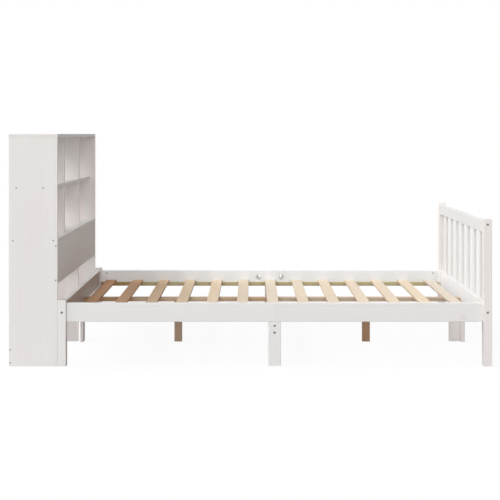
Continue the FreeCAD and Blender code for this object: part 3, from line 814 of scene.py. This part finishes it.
moon = round_bar(moon_radius, moon_thick, moon_sides)
bpy.ops.object.mode_set(mode="EDIT")
bpy.ops.mesh.select_all(action="SELECT")
bpy.ops.mesh.bisect(plane_co=(0.0, 0.0, 0.0), plane_no=(1.0, 0.0, 0.0), use_fill=True, clear_inner=True)
bpy.ops.object.mode_set(mode="OBJECT")
round_edges(moon, moon_edge)
deselect_all()
bpy.ops.mesh.primitive_cylinder_add(vertices=bore_sides, radius=moon_bore_radius, depth=4.0 * moon_radius,
                                    location=(0.0, 0.0, -moon_bore_depth),
                                    rotation=(0.0, math.radians(90.0), 0.0))
cut_away(moon, bpy.context.object)
joint_x = sum(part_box("middle_left_leg"), Vector()).x / 2.0
moon_places = []
for points in solids_of("half_moon_nuts"):
    low, high = corners_of(points)
    side = math.copysign(1.0, low.y)
    at_head = low.x < joint_x
    inner_face = min(abs(low.y), abs(high.y))
    moon_places.append((Vector((low.x if at_head else high.x, side * inner_face, (low.z + high.z) / 2.0)),
                        Vector((0.0, -side, 0.0)), 0.0 if at_head else math.radians(180.0)))
lay_out(moon, "moon_nuts", moon_places, clean_steel, "half_moon_nuts")


# ---- screws -------------------------------------------------------------------------------------
# Countersunk wood screws with a cross slot. Long ones go through the bookcase sides and the centre
# beam, and short ones hold the slats and the cleats. Their steel is painted dark as painted shade.

screw_head_radius = 0.0036
screw_radius = 0.002
screw_head_depth = 0.003
screw_thread_pitch = 0.002
screw_thread_depth = 0.0006
screw_point_length = 0.004
screw_slot_width = 0.0008
screw_slot_length = 0.0044
screw_slot_depth = 0.0014
screw_threaded_share = 0.75
screw_sides = 20
screw_turn = math.radians(37.0)


def screw_model(length):
    """A screw with its head at the origin and its point below."""
    deselect_all()
    bpy.ops.mesh.primitive_cone_add(vertices=screw_sides, radius1=screw_radius, radius2=screw_head_radius,
                                    depth=screw_head_depth, location=(0.0, 0.0, -screw_head_depth / 2.0))
    bpy.ops.object.transform_apply()
    screw = bpy.context.object
    choose_bottom(screw)
    threaded = (length - screw_head_depth - screw_point_length) * screw_threaded_share
    turns = round(threaded / screw_thread_pitch)
    draw_down(length - screw_head_depth - screw_point_length - turns * screw_thread_pitch)
    draw_thread(screw_radius, screw_thread_pitch, screw_thread_depth, turns * screw_thread_pitch)
    draw_down(screw_point_length * 0.6, 0.55)
    draw_down(screw_point_length * 0.4, 0.2)
    bpy.ops.object.mode_set(mode="OBJECT")
    for turn in (0.0, 90.0):
        deselect_all()
        bpy.ops.mesh.primitive_cube_add(size=1.0, rotation=(0.0, 0.0, math.radians(turn)), scale=(
            screw_slot_width, screw_slot_length, 2.0 * screw_slot_depth))
        cut_away(screw, bpy.context.object)
    return screw


for group, name in (("long_screws", "case_screws"), ("short_screws", "slat_screws")):
    lies = [lie_of(points) for points in solids_of(group)]
    screw_places = [(point, outward, screw_turn * number)
                    for number, (point, outward, length) in enumerate(lies)]
    lay_out(screw_model(lies[0][2]), name, screw_places, shade_darkened_steel, group)


# ---- dowels -------------------------------------------------------------------------------------
# Fluted beech dowels are glued into the ends of the boards. Their ends are chamfered, and the
# grooves along them let the glue and the air out of the holes.

dowel_radius = 0.004
dowel_flute = 0.0003
dowel_chamfer = 0.001
dowel_sides = 24
beech_pale = (0.70, 0.50, 0.34, 1.0)
beech_dark = (0.52, 0.32, 0.19, 1.0)

beech, beech_shader, beech_place = new_material("beech")
beech_start = Wire(beech_place.outputs["Object"])
beech_fleck = beech_start.node("ShaderNodeTexVoronoi", "Distance", {
    "Vector": beech_start, "Scale": 900.0})
beech_tone = beech_start.node("ShaderNodeTexNoise", 0, {
    "Vector": beech_start, "Scale": 160.0, "Detail": 3.0})
feed(beech_shader, "Base Color", blend(
    (1.0 - fade(beech_fleck, 0.1, 0.35)) * 0.45 + beech_tone * 0.4, beech_pale, beech_dark))
feed(beech_shader, "Roughness", 0.55 + beech_tone * 0.2)


def dowel_model(length):
    """A dowel with one end at the origin and every second corner drawn in for a groove."""
    dowel = round_bar(dowel_radius - dowel_chamfer / 2.0, dowel_chamfer / 2.0, dowel_sides)
    choose_bottom(dowel)
    widen = dowel_radius / (dowel_radius - dowel_chamfer / 2.0)
    draw_down(dowel_chamfer / 2.0, widen)
    draw_down(length - 2.0 * dowel_chamfer)
    draw_down(dowel_chamfer / 2.0, 1.0 / widen)
    draw_down(dowel_chamfer / 2.0, 0.95)
    bpy.ops.mesh.select_mode(type="VERT")
    bpy.ops.mesh.select_all(action="DESELECT")
    bpy.ops.object.mode_set(mode="OBJECT")
    step = 2.0 * math.pi / dowel_sides
    for corner in dowel.data.vertices:
        corner.select = round(math.atan2(corner.co.x, corner.co.y) / step) % 2 == 1
    bpy.ops.object.mode_set(mode="EDIT")
    groove = 1.0 - dowel_flute / dowel_radius
    bpy.ops.transform.resize(value=(groove, groove, 1.0), center_override=(0.0, 0.0, 0.0))
    bpy.ops.object.mode_set(mode="OBJECT")
    return dowel


dowel_lies = [lie_of(points) for points in solids_of("dowels")]
dowel_lengths = sorted({round(length, 4) for point, outward, length in dowel_lies})
for number, dowel_length in enumerate(dowel_lengths, 1):
    dowel_places = [(point, outward, 0.0) for point, outward, length in dowel_lies
                    if round(length, 4) == dowel_length]
    lay_out(dowel_model(dowel_length), "fluted_dowels_" + str(number), dowel_places,
            beech, "dowels")
